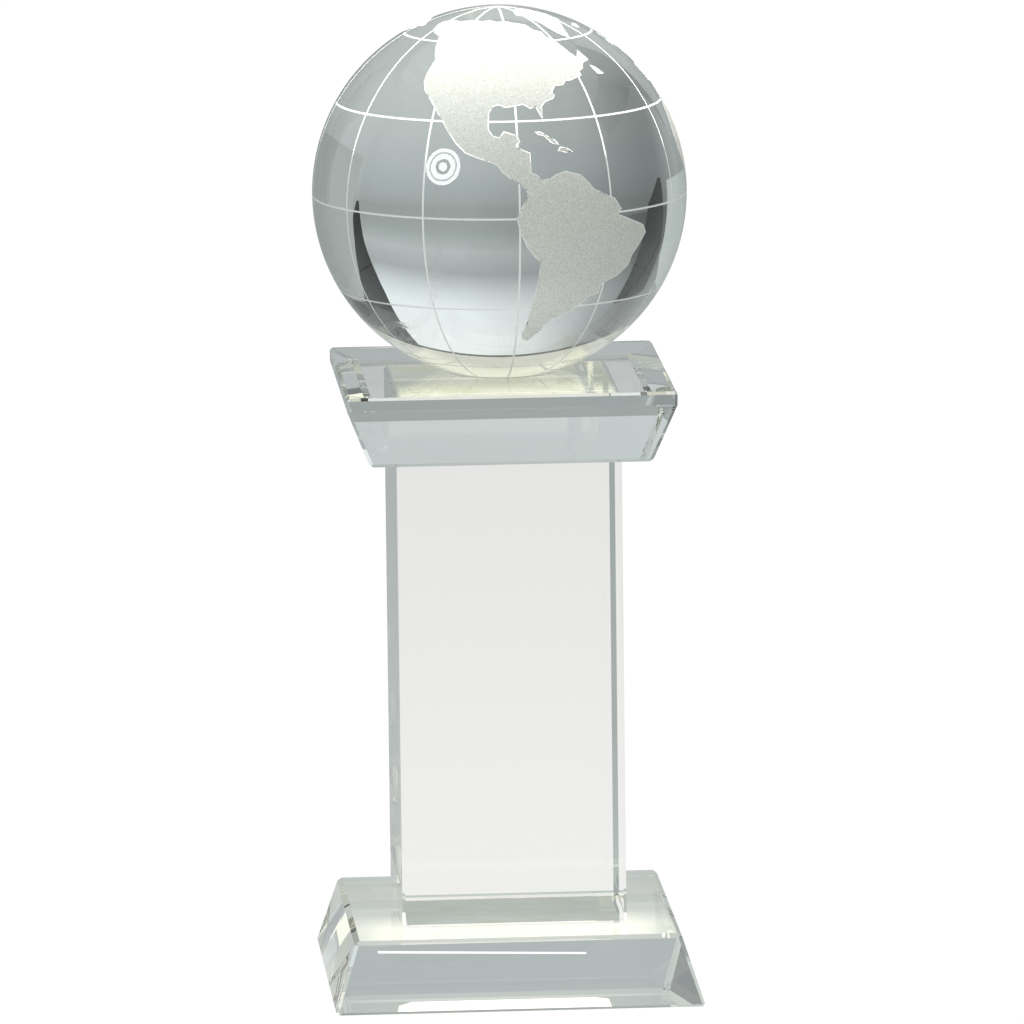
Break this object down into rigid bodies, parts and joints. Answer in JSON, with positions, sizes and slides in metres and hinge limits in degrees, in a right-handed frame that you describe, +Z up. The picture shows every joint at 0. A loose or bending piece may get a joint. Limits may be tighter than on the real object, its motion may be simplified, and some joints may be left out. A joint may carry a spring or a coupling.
{
  "type": "column trophy",
  "caption": "Clear glass award: a frosted-map ball stands on a flared square cap, a tall square column and a low tapered base, all bonded.",
  "frame": {"origin": "middle of the underside of the base block", "axes": "+Z up through the column and the ball, X across the front face, +Y from the front face to the back"},
  "size_m": [0.08, 0.08, 0.2104],
  "materials": {
    "block_glass": "ground and polished clear optical glass",
    "globe_glass": "polished clear optical glass with sandblasted land areas and map lines",
    "adhesive_film": "clear cured acrylic adhesive"
  },
  "bodies": {
    "root": {"base_block": "block_glass", "base_bond": "adhesive_film", "column": "block_glass", "cap_bond": "adhesive_film", "cap_block": "block_glass", "globe_bond": "adhesive_film", "globe": "globe_glass"}
  },
  "joints": []
}
